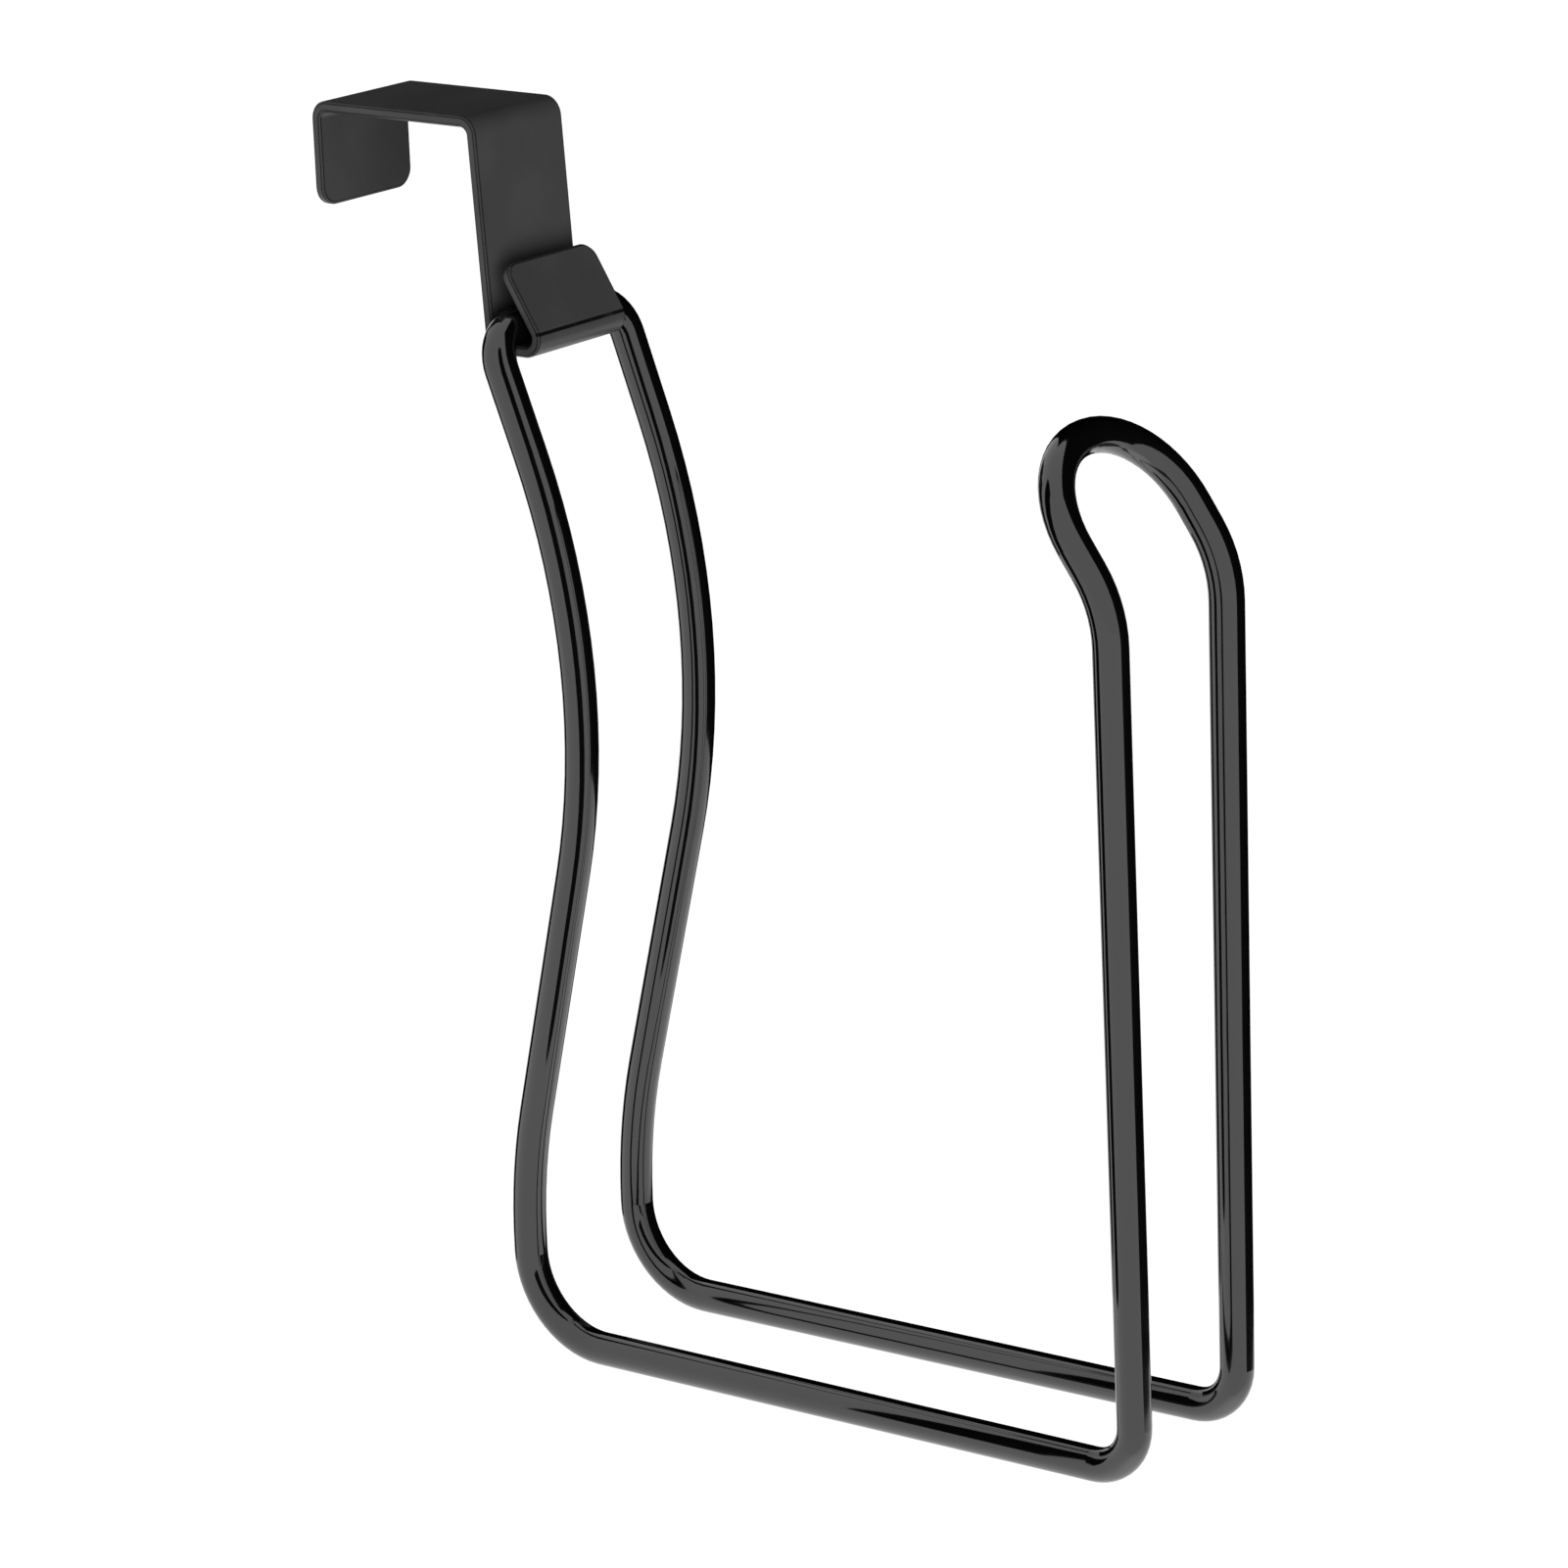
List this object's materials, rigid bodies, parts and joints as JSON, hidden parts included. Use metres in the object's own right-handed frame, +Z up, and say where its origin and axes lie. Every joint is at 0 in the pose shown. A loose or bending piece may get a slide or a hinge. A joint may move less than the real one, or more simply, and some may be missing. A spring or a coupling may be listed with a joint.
{
  "type": "over-door towel rack",
  "caption": "Wire towel rack that hangs over a door: a U-shaped wire frame with a rounded front loop, swinging in the closing hook of a bent flat strap.",
  "frame": {"origin": "middle of the seat, the underside of the strap's top plate, where it lies on the top of the door", "axes": "+Z up, X along the door's width, -Y out from the door into the room, +Y towards the far side of the door"},
  "size_m": [0.04, 0.1798, 0.2297],
  "materials": {
    "strap_black": "satin powder coat",
    "wire_black": "gloss dip coat"
  },
  "bodies": {
    "strap": {"hanger_strap": "strap_black"},
    "frame": {"wire_frame": "wire_black"}
  },
  "joints": [
    {"name": "frame_swing", "type": "hinge", "parent": "strap", "child": "frame", "pos_m": [0, -0.0252, -0.03455], "axis": [-1, 0, 0], "range_deg": [0, 160]}
  ]
}
